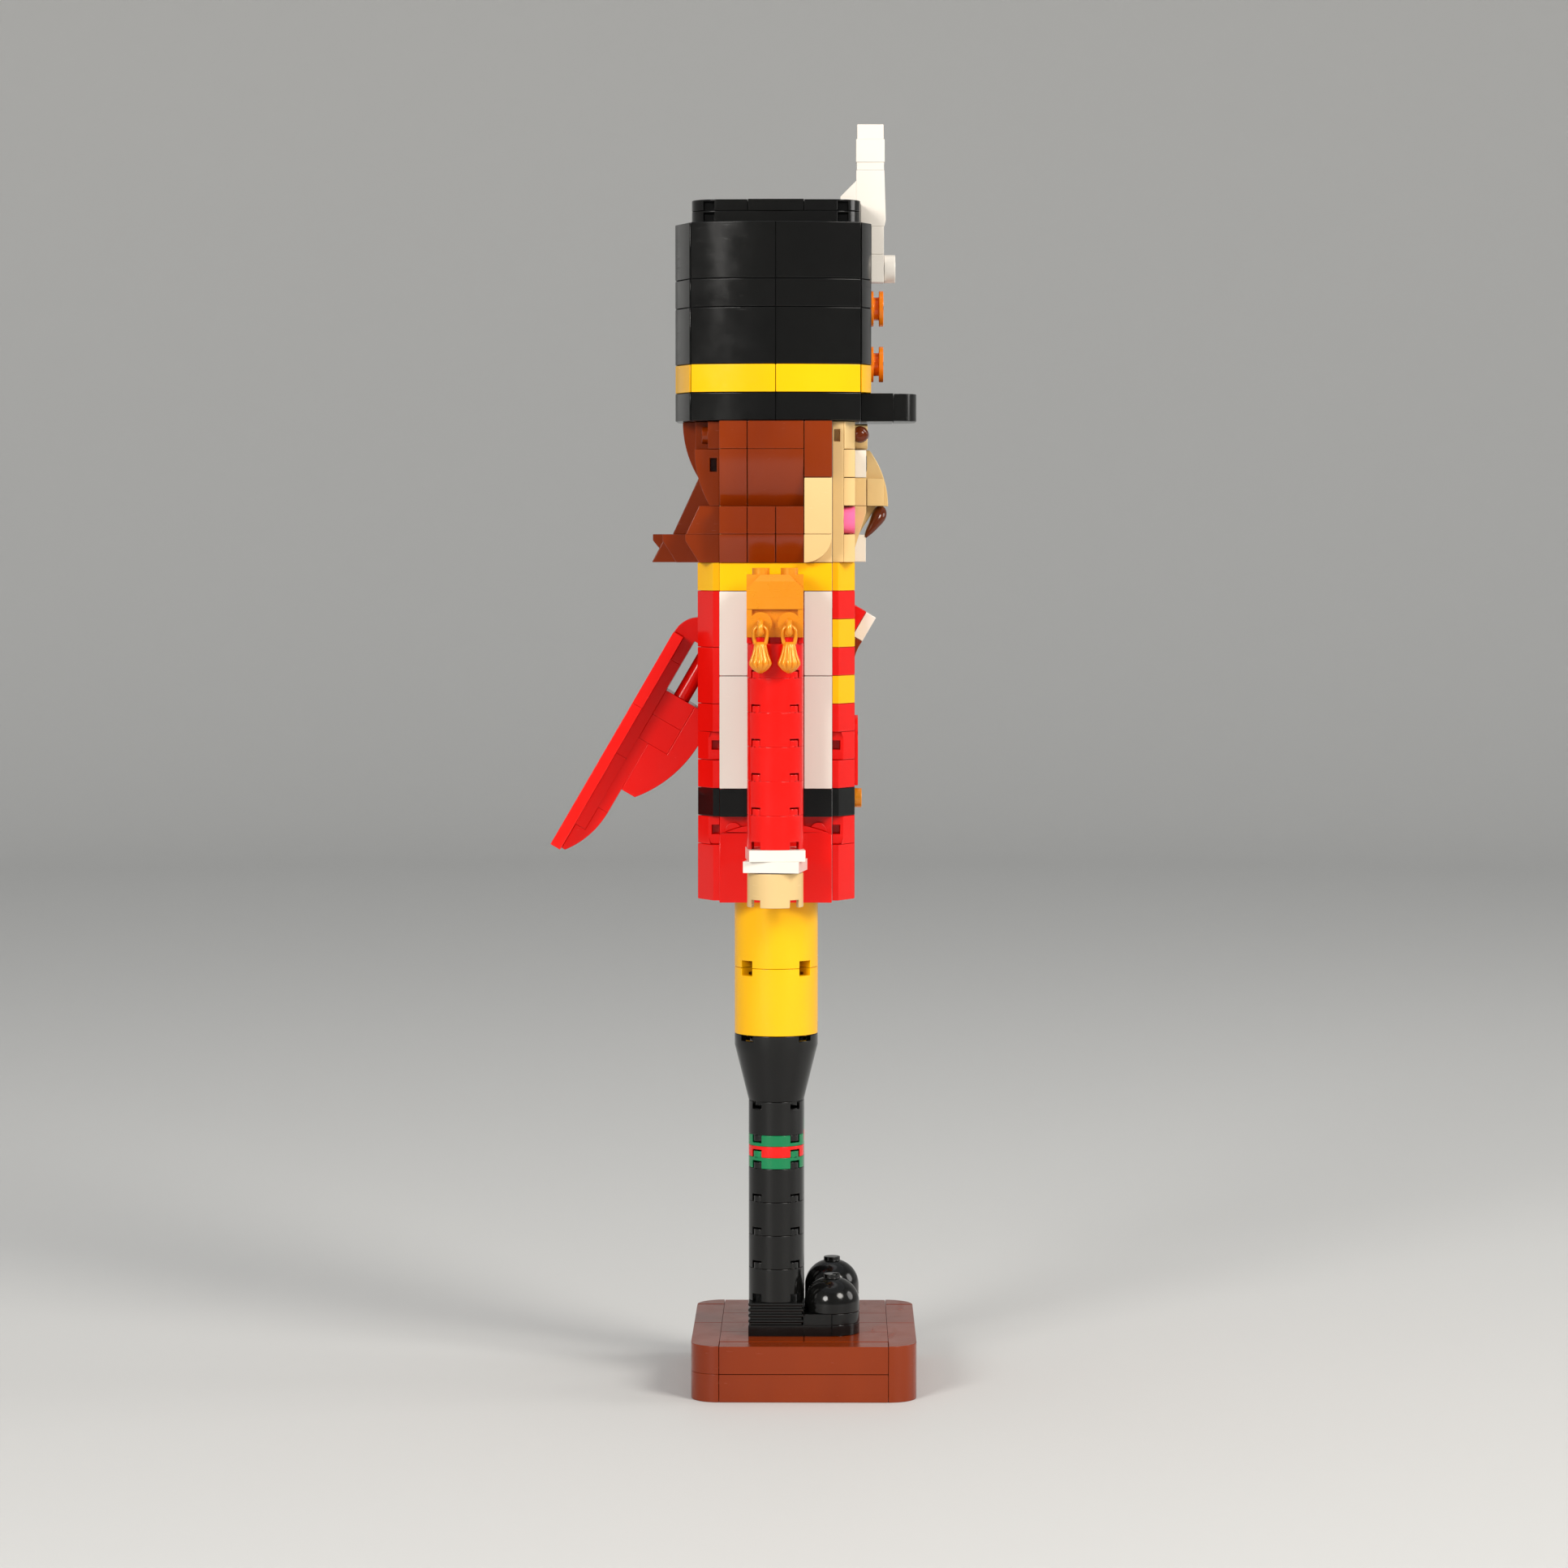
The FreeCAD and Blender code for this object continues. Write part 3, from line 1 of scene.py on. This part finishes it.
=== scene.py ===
import bpy, bmesh, json, math
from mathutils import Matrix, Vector


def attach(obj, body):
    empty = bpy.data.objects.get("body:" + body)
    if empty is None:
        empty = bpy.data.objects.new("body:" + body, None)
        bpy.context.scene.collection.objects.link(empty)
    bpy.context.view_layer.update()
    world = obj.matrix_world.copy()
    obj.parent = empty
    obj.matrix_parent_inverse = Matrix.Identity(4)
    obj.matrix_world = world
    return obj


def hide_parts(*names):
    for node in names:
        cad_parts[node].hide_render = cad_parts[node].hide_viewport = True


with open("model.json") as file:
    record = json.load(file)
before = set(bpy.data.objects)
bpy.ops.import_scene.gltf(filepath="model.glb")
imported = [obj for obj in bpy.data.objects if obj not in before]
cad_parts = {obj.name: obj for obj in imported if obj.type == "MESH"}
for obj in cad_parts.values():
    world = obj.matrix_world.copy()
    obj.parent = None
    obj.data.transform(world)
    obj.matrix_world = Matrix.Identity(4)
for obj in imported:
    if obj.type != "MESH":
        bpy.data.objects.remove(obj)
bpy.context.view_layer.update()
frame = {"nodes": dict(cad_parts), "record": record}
nodes = frame["nodes"]
record = frame["record"]
mm = 0.001


def addSocket(group, name, direction, kind, value=None):
    socket = group.interface.new_socket(name=name, in_out=direction, socket_type=kind)
    if value is not None:
        socket.default_value = value
    return socket


skinPattern = {
    "flow": {"scale": 38, "detail": 2, "stretch": (1, 1, 0.45), "range": (0.35, 0.7)},
    "mottle": {"scale": 160, "detail": 3, "range": (0.35, 0.65)},
    "fine": {"scale": 900, "detail": 2, "height": 0.12},
    "scratches": {"scale": 260, "detail": 1, "stretch": (0.15, 1, 6), "range": (0.66, 0.74), "depth": 0.12},
}


def makeMouldedSkin():
    # flow marks, a faint mottle, fine scratches and a height for the bump
    group = bpy.data.node_groups.new("mouldedSkin", "ShaderNodeTree")
    addSocket(group, "Colour", "INPUT", "NodeSocketColor", (0.5, 0.5, 0.5, 1))
    addSocket(group, "Deep Colour", "INPUT", "NodeSocketColor", (0.4, 0.4, 0.4, 1))
    addSocket(group, "Gloss Low", "INPUT", "NodeSocketFloat", 0.12)
    addSocket(group, "Gloss High", "INPUT", "NodeSocketFloat", 0.2)
    addSocket(group, "Scratch", "INPUT", "NodeSocketFloat", 0.3)
    addSocket(group, "Colour", "OUTPUT", "NodeSocketColor")
    addSocket(group, "Roughness", "OUTPUT", "NodeSocketFloat")
    addSocket(group, "Height", "OUTPUT", "NodeSocketFloat")
    tree, link = group.nodes, group.links.new
    start, end = tree.new("NodeGroupInput"), tree.new("NodeGroupOutput")
    place = tree.new("ShaderNodeTexCoord")

    def noise(name):
        pattern = skinPattern[name]
        texture = tree.new("ShaderNodeTexNoise")
        texture.inputs["Scale"].default_value = pattern["scale"]
        texture.inputs["Detail"].default_value = pattern["detail"]
        if "stretch" in pattern:
            mapping = tree.new("ShaderNodeMapping")
            mapping.inputs["Scale"].default_value = pattern["stretch"]
            link(place.outputs["Object"], mapping.inputs["Vector"])
            link(mapping.outputs["Vector"], texture.inputs["Vector"])
        else:
            link(place.outputs["Object"], texture.inputs["Vector"])
        return texture.outputs["Fac"]

    def spread(value, name, outLow, outHigh):
        node = tree.new("ShaderNodeMapRange")
        low, high = skinPattern[name]["range"]
        node.inputs["From Min"].default_value = low
        node.inputs["From Max"].default_value = high
        for name, source in (("To Min", outLow), ("To Max", outHigh)):
            if isinstance(source, (int, float)):
                node.inputs[name].default_value = source
            else:
                link(source, node.inputs[name])
        link(value, node.inputs["Value"])
        return node.outputs["Result"]

    flow = noise("flow")
    mottle = noise("mottle")
    fine = noise("fine")
    scratches = noise("scratches")
    mix = tree.new("ShaderNodeMix")
    mix.data_type = "RGBA"
    link(spread(flow, "flow", 0, 1), mix.inputs["Factor"])
    link(start.outputs["Colour"], mix.inputs["A"])
    link(start.outputs["Deep Colour"], mix.inputs["B"])
    link(mix.outputs["Result"], end.inputs["Colour"])
    gloss = spread(mottle, "mottle", start.outputs["Gloss Low"], start.outputs["Gloss High"])
    marks = spread(scratches, "scratches", 0, skinPattern["scratches"]["depth"])
    scaled = tree.new("ShaderNodeMath")
    scaled.operation = "MULTIPLY_ADD"
    link(marks, scaled.inputs[0])
    link(start.outputs["Scratch"], scaled.inputs[1])
    link(gloss, scaled.inputs[2])
    link(scaled.outputs[0], end.inputs["Roughness"])
    height = tree.new("ShaderNodeMath")
    height.operation = "MULTIPLY_ADD"
    height.inputs[1].default_value = skinPattern["fine"]["height"]
    link(fine, height.inputs[0])
    link(flow, height.inputs[2])
    link(height.outputs[0], end.inputs["Height"])
    return group


mouldedSkin = makeMouldedSkin()

# colour, deeper colour where the plastic flowed thick, gloss range
finishes = {
    "red": {"colour": (0.80, 0.007, 0.004), "deep": (0.72, 0.005, 0.003), "gloss": (0.16, 0.22)},
    "yellow": {"colour": (0.97, 0.52, 0.001), "deep": (0.92, 0.45, 0.001), "gloss": (0.16, 0.22)},
    "white": {"colour": (0.82, 0.77, 0.70), "deep": (0.77, 0.72, 0.65), "gloss": (0.17, 0.24)},
    "black": {"colour": (0.004, 0.004, 0.0037), "deep": (0.003, 0.003, 0.003), "gloss": (0.12, 0.18)},
    "tan": {"colour": (0.76, 0.54, 0.25), "deep": (0.70, 0.48, 0.21), "gloss": (0.18, 0.25)},
    "reddish_brown": {"colour": (0.23, 0.028, 0.001), "deep": (0.18, 0.020, 0.001), "gloss": (0.16, 0.23)},
    "brown_gloss": {"colour": (0.105, 0.016, 0.001), "deep": (0.085, 0.012, 0.001), "gloss": (0.08, 0.12)},
    "pearl_gold": {"colour": (0.84, 0.30, 0.008), "deep": (0.74, 0.24, 0.006), "gloss": (0.26, 0.31)},
    "green": {"colour": (0.004, 0.23, 0.08), "deep": (0.003, 0.17, 0.06), "gloss": (0.14, 0.2)},
    "pink": {"colour": (0.88, 0.17, 0.36), "deep": (0.82, 0.12, 0.30), "gloss": (0.16, 0.22)},
    "orange": {"colour": (0.96, 0.24, 0.006), "deep": (0.88, 0.18, 0.004), "gloss": (0.16, 0.22)},
}
bumpDepth = 0.6 * mm
scratchShare = 0.5
finishShader = {
    "plain": {"metallic": 0.0, "coat": 0.08, "coatRoughness": 0.05, "specular": 0.3, "bump": 0.02},
    "pearl_gold": {"metallic": 0.2, "coat": 0.2, "coatRoughness": 0.08, "specular": 0.4, "bump": 0.0},
}


def makePlastic(name):
    look = finishes[name]
    shader = finishShader.get(name, finishShader["plain"])
    material = bpy.data.materials.new(name + "Plastic")
    material.use_nodes = True
    tree, link = material.node_tree.nodes, material.node_tree.links.new
    surface = tree["Principled BSDF"]
    skin = tree.new("ShaderNodeGroup")
    skin.node_tree = mouldedSkin
    skin.inputs["Colour"].default_value = (*look["colour"], 1)
    skin.inputs["Deep Colour"].default_value = (*look["deep"], 1)
    skin.inputs["Gloss Low"].default_value = look["gloss"][0]
    skin.inputs["Gloss High"].default_value = look["gloss"][1]
    skin.inputs["Scratch"].default_value = scratchShare
    link(skin.outputs["Colour"], surface.inputs["Base Color"])
    link(skin.outputs["Roughness"], surface.inputs["Roughness"])
    bump = tree.new("ShaderNodeBump")
    bump.inputs["Strength"].default_value = shader["bump"]
    bump.inputs["Distance"].default_value = bumpDepth
    link(skin.outputs["Height"], bump.inputs["Height"])
    link(bump.outputs["Normal"], surface.inputs["Normal"])
    surface.inputs["Metallic"].default_value = shader["metallic"]
    surface.inputs["Coat Weight"].default_value = shader["coat"]
    surface.inputs["Coat Roughness"].default_value = shader["coatRoughness"]
    surface.inputs["Specular IOR Level"].default_value = shader["specular"]
    return material


plastics = {name: makePlastic(name) for name in finishes}
print("plastics made:", len(plastics))


edgeSoftening = {"width": 0.2 * mm, "segments": 2, "angle": 28, "flat": 0.4,
                 "clamped": ("soft_cheeks", "soft_epaulette_right", "soft_epaulette_left")}
weldSteps = 1e7  # corner places are rounded to this many steps in a metre


def cornerKey(point):
    return tuple(round(value * weldSteps) for value in point)


def solidsOf(mesh):
    # the faces come one solid after another, so a solid ends when no edge is left open
    solids, faces, openEdges = [], [], set()
    keys = [cornerKey(vertex.co) for vertex in mesh.vertices]
    for face in mesh.polygons:
        ring = [keys[index] for index in face.vertices]
        for first, second in zip(ring, ring[1:] + ring[:1]):
            if first == second:
                continue
            if (second, first) in openEdges:
                openEdges.remove((second, first))
            else:
                openEdges.add((first, second))
        faces.append(ring)
        if not openEdges:
            solids.append(faces)
            faces = []
    if faces:
        solids.append(faces)
    return solids


def softenedMesh(name, mesh):
    built = bmesh.new()
    for faces in solidsOf(mesh):
        corners = {}
        for ring in faces:
            for key in ring:
                if key not in corners:
                    corners[key] = built.verts.new([value / weldSteps for value in key])
        for ring in faces:
            if len(set(ring)) == len(ring):
                try:
                    built.faces.new([corners[key] for key in ring])
                except ValueError:
                    pass
    flat = math.radians(edgeSoftening["flat"])
    bmesh.ops.dissolve_limit(built, angle_limit=flat, verts=built.verts[:], edges=built.edges[:])
    for face in built.faces:
        face.smooth = True
    result = bpy.data.meshes.new(name)
    built.to_mesh(result)
    built.free()
    return result


def softenEdges(piece):
    bevel = piece.modifiers.new("softEdges", "BEVEL")
    bevel.width = edgeSoftening["width"]
    bevel.segments = edgeSoftening["segments"]
    bevel.limit_method = "ANGLE"
    bevel.angle_limit = math.radians(edgeSoftening["angle"])
    bevel.use_clamp_overlap = piece.name in edgeSoftening["clamped"]
    bevel.harden_normals = True
    return piece


def addPiece(name, mesh, body, slotName):
    piece = bpy.data.objects.new(name, mesh)
    bpy.context.scene.collection.objects.link(piece)
    mesh.materials.clear()
    mesh.materials.append(plastics[slotName])
    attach(piece, body)
    return piece


slotOf = {part["node"]: part["material_slot"] for part in record["subparts"]}
bodyOf = {node: body for body, members in record["behaviour"]["bodies"].items() for node in members}
rebuilt = ["brows_and_moustache"] + ["tassel_%s_%s" % (end, side) for end in ("front", "rear")
                                     for side in ("right", "left")]
count = 0
for node in sorted(nodes):
    if node in rebuilt:
        continue
    piece = addPiece("soft_" + node, softenedMesh("soft_" + node, nodes[node].data),
                     bodyOf[node], slotOf[node])
    softenEdges(piece)
    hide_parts(node)
    count += len(solidsOf(nodes[node].data))
print("softened", len(nodes) - len(rebuilt), "nodes,", count, "solids")


def smoothLine(points, steps):
    # a line through the points, bent smoothly, as (point, radius) pairs
    line = []
    last = len(points) - 1
    for index in range(last):
        p0, p1, p2, p3 = (points[min(max(index + offset, 0), last)] for offset in (-1, 0, 1, 2))
        for step in range(steps):
            t = step / steps
            line.append([0.5 * (2 * b + (c - a) * t + (2 * a - 5 * b + 4 * c - d) * t * t
                                + (3 * b - a - 3 * c + d) * t ** 3)
                         for a, b, c, d in zip(p0, p1, p2, p3)])
    line.append(list(points[last]))
    return [(Vector(point[:3]), point[3]) for point in line]


def bridgeRings(built, rings):
    for ring, following in zip(rings, rings[1:]):
        for number in range(len(ring)):
            nextNumber = (number + 1) % len(ring)
            built.faces.new((ring[number], ring[nextNumber],
                             following[nextNumber], following[number]))


def sweptMesh(name, points, steps=8, sides=20):
    # points are (x, f, z, radius) in millimetres, f forwards of the legs
    line = smoothLine([(x * mm, -f * mm, z * mm, radius * mm) for x, f, z, radius in points], steps)
    built = bmesh.new()
    rings = []
    side = None
    for index, (point, radius) in enumerate(line):
        before, after = line[max(index - 1, 0)][0], line[min(index + 1, len(line) - 1)][0]
        ahead = (after - before).normalized()
        if side is None:
            side = ahead.orthogonal().normalized()
        side = (side - ahead * side.dot(ahead)).normalized()
        other = ahead.cross(side)
        rings.append([built.verts.new(point + radius * (math.cos(angle) * side + math.sin(angle) * other))
                      for angle in (2 * math.pi * number / sides for number in range(sides))])
    bridgeRings(built, rings)
    built.faces.new(list(reversed(rings[0])))
    built.faces.new(rings[-1])
    return finishMesh(name, built)


def finishMesh(name, built):
    bmesh.ops.recalc_face_normals(built, faces=built.faces[:])
    for face in built.faces:
        face.smooth = True
    mesh = bpy.data.meshes.new(name)
    built.to_mesh(mesh)
    built.free()
    return mesh


def mirroredPoints(points):
    return [(-x, f, z, radius) for x, f, z, radius in points]


faceHair = {
    "moustache": [(-0.6, 29.0, 251.9, 0.5), (-1.6, 29.4, 251.7, 1.3), (-3.2, 29.7, 251.1, 1.9),
                  (-4.8, 29.2, 249.7, 2.05), (-6.2, 27.9, 247.5, 1.5), (-7.2, 26.6, 245.6, 1.0),
                  (-8.0, 25.5, 244.0, 0.35)],
    "brow": [(-18.2, 23.8, 273.0, 0.9), (-17.6, 23.8, 273.0, 2.0), (-16.0, 23.9, 273.1, 2.4),
             (-13.6, 24.7, 273.0, 1.8), (-10.4, 24.9, 272.9, 1.6), (-8.2, 25.0, 272.5, 1.1),
             (-7.2, 25.1, 271.9, 0.4)],
}
for name, points in faceHair.items():
    for side, line in (("right", points), ("left", mirroredPoints(points))):
        piece = addPiece(name + "_" + side, sweptMesh(name + "_" + side, line), bodyOf["nose"], "brown_gloss")
        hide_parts("brows_and_moustache")
print("brows and moustache made")


tasselShape = {
    "x": -51.5, "pinHeight": 217.6, "spread": 4.0, "flutes": 10, "fluteDepth": 0.13,
    "loopRadius": 1.75, "loopTube": 0.56, "loopFoot": 214.4, "loopPinch": 0.8,
    "around": 12,  # corners for each flute
    # height, radius
    "bell": [(215.0, 1.3), (214.3, 1.75), (213.2, 1.95), (211.6, 2.35), (210.2, 2.9), (209.2, 3.25),
             (208.7, 3.2), (208.0, 2.7), (207.3, 2.1), (206.7, 1.2), (206.3, 0.5)],
}
hookLine = [(-47.6, 0, 220.2, 0.95), (-49.6, 0, 220.6, 0.85), (-51.6, 0, 220.7, 0.8), (-53.2, 0, 219.9, 0.8),
            (-53.7, 0, 218.6, 0.8), (-53.2, 0, 217.6, 0.75), (-52.0, 0, 217.2, 0.7), (-50.9, 0, 217.5, 0.5)]


def tasselBell(name, x, f):
    shape = tasselShape
    around = shape["around"] * shape["flutes"]
    built = bmesh.new()
    rings = []
    tall = shape["bell"][0][0] - shape["bell"][-1][0]
    for height, radius in shape["bell"]:
        down = (shape["bell"][0][0] - height) / tall
        depth = shape["fluteDepth"] * min(1, 3 * down) * min(1, 4 * (1 - down))
        ring = []
        for number in range(around):
            angle = 2 * math.pi * number / around
            ridge = abs(math.cos(shape["flutes"] * angle / 2))
            reach = radius * (1 - depth * (1 - ridge) ** 2 * 2)
            ring.append(built.verts.new(((x + reach * math.cos(angle)) * mm,
                                         (-f + reach * math.sin(angle)) * mm, height * mm)))
        rings.append(ring)
    bridgeRings(built, rings)
    built.faces.new(rings[0])
    built.faces.new(list(reversed(rings[-1])))
    return finishMesh(name, built)


def tasselLoop(name, x, f):
    radius, tube = tasselShape["loopRadius"], tasselShape["loopTube"]
    foot, pin = tasselShape["loopFoot"], tasselShape["pinHeight"]
    pinched = radius * tasselShape["loopPinch"]
    points = [(x, f - pinched, foot, tube), (x, f - radius, (foot + pin) / 2, tube)]
    for degrees in (180, 150, 120, 90, 60, 30, 0):
        angle = math.radians(degrees)
        points.append((x, f + radius * math.cos(angle), pin + radius * math.sin(angle), tube))
    points += [(x, f + radius, (foot + pin) / 2, tube), (x, f + pinched, foot, tube)]
    return sweptMesh(name, points, steps=4, sides=14)


for side, sign in (("right", 1), ("left", -1)):
    x = tasselShape["x"] * sign
    for end, f in (("front", tasselShape["spread"]), ("rear", -tasselShape["spread"])):
        node = "tassel_%s_%s" % (end, side)
        for part, makeMesh in (("bell", tasselBell), ("loop", tasselLoop)):
            name = part + "_" + node
            piece = addPiece(name, makeMesh(name, x, f), bodyOf[node], "pearl_gold")
            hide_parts(node)
        line = [(px * sign, f, z, radius) for px, _, z, radius in hookLine]
        addPiece("hook_%s_%s" % (end, side), sweptMesh("hook_%s_%s" % (end, side), line),
                 bodyOf["epaulette_" + side], "pearl_gold")
print("tassels made")


pupil = {"x": 12.0, "front": 25.7, "height": 264.9, "radius": 2.3, "sides": 48, "thick": 0.12}


def pupilMesh(name, x):
    built = bmesh.new()
    rings = []
    for front, radius in ((pupil["front"] - pupil["thick"], pupil["radius"]),
                          (pupil["front"], pupil["radius"]),
                          (pupil["front"] + pupil["thick"], pupil["radius"] - pupil["thick"])):
        ring = []
        for number in range(pupil["sides"]):
            angle = 2 * math.pi * number / pupil["sides"]
            ring.append(built.verts.new(((x + radius * math.cos(angle)) * mm, -front * mm,
                                         (pupil["height"] + radius * math.sin(angle)) * mm)))
        rings.append(ring)
    bridgeRings(built, rings)
    built.faces.new(rings[0])
    built.faces.new(list(reversed(rings[-1])))
    return finishMesh(name, built)


for side, sign in (("right", -1), ("left", 1)):
    addPiece("pupil_" + side, pupilMesh("pupil_" + side, sign * pupil["x"]), bodyOf["eyes"], "black")
print("pupils made")


def plainMaterial(name, colour, roughness):
    material = bpy.data.materials.new(name)
    material.use_nodes = True
    surface = material.node_tree.nodes["Principled BSDF"]
    surface.inputs["Base Color"].default_value = (*colour, 1)
    surface.inputs["Roughness"].default_value = roughness
    return material


room = {"flat": 2.1, "bend": 0.7, "bendSteps": 12, "top": 3.4, "colour": (0.62, 0.62, 0.61),
        "roughness": 0.6, "around": 96}


def makeFloor():
    # a round floor that bends up into a plain wall
    profile = [(0.0, 0.0), (room["flat"], 0.0)]
    for step in range(1, room["bendSteps"] + 1):
        angle = math.radians(90 * step / room["bendSteps"])
        profile.append((room["flat"] + room["bend"] * math.sin(angle),
                        room["bend"] * (1 - math.cos(angle))))
    profile.append((room["flat"] + room["bend"], room["top"]))
    built = bmesh.new()
    centre = built.verts.new((0, 0, 0))
    rings = []
    for radius, height in profile[1:]:
        ring = []
        for number in range(room["around"]):
            angle = 2 * math.pi * number / room["around"]
            ring.append(built.verts.new((radius * math.cos(angle), radius * math.sin(angle), height)))
        rings.append(ring)
    for number in range(room["around"]):
        nextNumber = (number + 1) % room["around"]
        built.faces.new((centre, rings[0][number], rings[0][nextNumber]))
        for ring, following in zip(rings, rings[1:]):
            built.faces.new((ring[number], following[number], following[nextNumber], ring[nextNumber]))
    for face in built.faces:
        face.smooth = True
    mesh = bpy.data.meshes.new("floor")
    built.to_mesh(mesh)
    built.free()
    floor = bpy.data.objects.new("floor", mesh)
    bpy.context.scene.collection.objects.link(floor)
    mesh.materials.append(plainMaterial("paleFloor", room["colour"], room["roughness"]))
    return floor


makeFloor()

softLights = {
    "keyLight": {"place": (-1.1, -1.0, 1.1), "size": 0.7, "power": 22, "colour": (1, 0.96, 0.9)},
    "sideLight": {"place": (-1.4, 0.8, 0.8), "size": 0.6, "power": 18, "colour": (1, 0.97, 0.93)},
    "frontLight": {"place": (0.1, -1.6, 0.7), "size": 0.8, "power": 8, "colour": (1, 0.98, 0.95)},
    "topLight": {"place": (0.1, 0.1, 1.7), "size": 1.2, "power": 3, "colour": (1, 1, 1)},
}
lookAt = Vector((0, 0, 0.18))  # half way up the figure
for name, setting in softLights.items():
    light = bpy.data.lights.new(name, "AREA")
    light.shape = "DISK"
    light.size = setting["size"]
    light.energy = setting["power"]
    light.color = setting["colour"]
    lamp = bpy.data.objects.new(name, light)
    lamp.location = setting["place"]
    lamp.rotation_euler = (lookAt - Vector(setting["place"])).to_track_quat("-Z", "Y").to_euler()
    bpy.context.scene.collection.objects.link(lamp)

softRoom = {"colour": (0.85, 0.88, 0.92, 1), "strength": 0.5}
world = bpy.data.worlds.new("softRoom")
world.use_nodes = True
world.node_tree.nodes["Background"].inputs["Color"].default_value = softRoom["colour"]
world.node_tree.nodes["Background"].inputs["Strength"].default_value = softRoom["strength"]
bpy.context.scene.world = world
bpy.context.scene.view_settings.view_transform = "Standard"

view = {"place": (-1.33232, -0.01464, 0.2456), "turn": 0.54, "down": 3.13, "lens": 106.04,
        "sensor": 36.0, "near": 0.05}
camera = bpy.data.cameras.new("camera")
camera.lens = view["lens"]
camera.sensor_width = view["sensor"]
camera.clip_start = view["near"]
eye = bpy.data.objects.new("camera", camera)
eye.location = view["place"]
turn, down = math.radians(view["turn"]), math.radians(view["down"])
ahead = Vector((math.cos(turn) * math.cos(down), math.sin(turn) * math.cos(down), -math.sin(down)))
eye.rotation_euler = ahead.to_track_quat("-Z", "Y").to_euler()
bpy.context.scene.collection.objects.link(eye)
bpy.context.scene.camera = eye
print("lights and camera set")
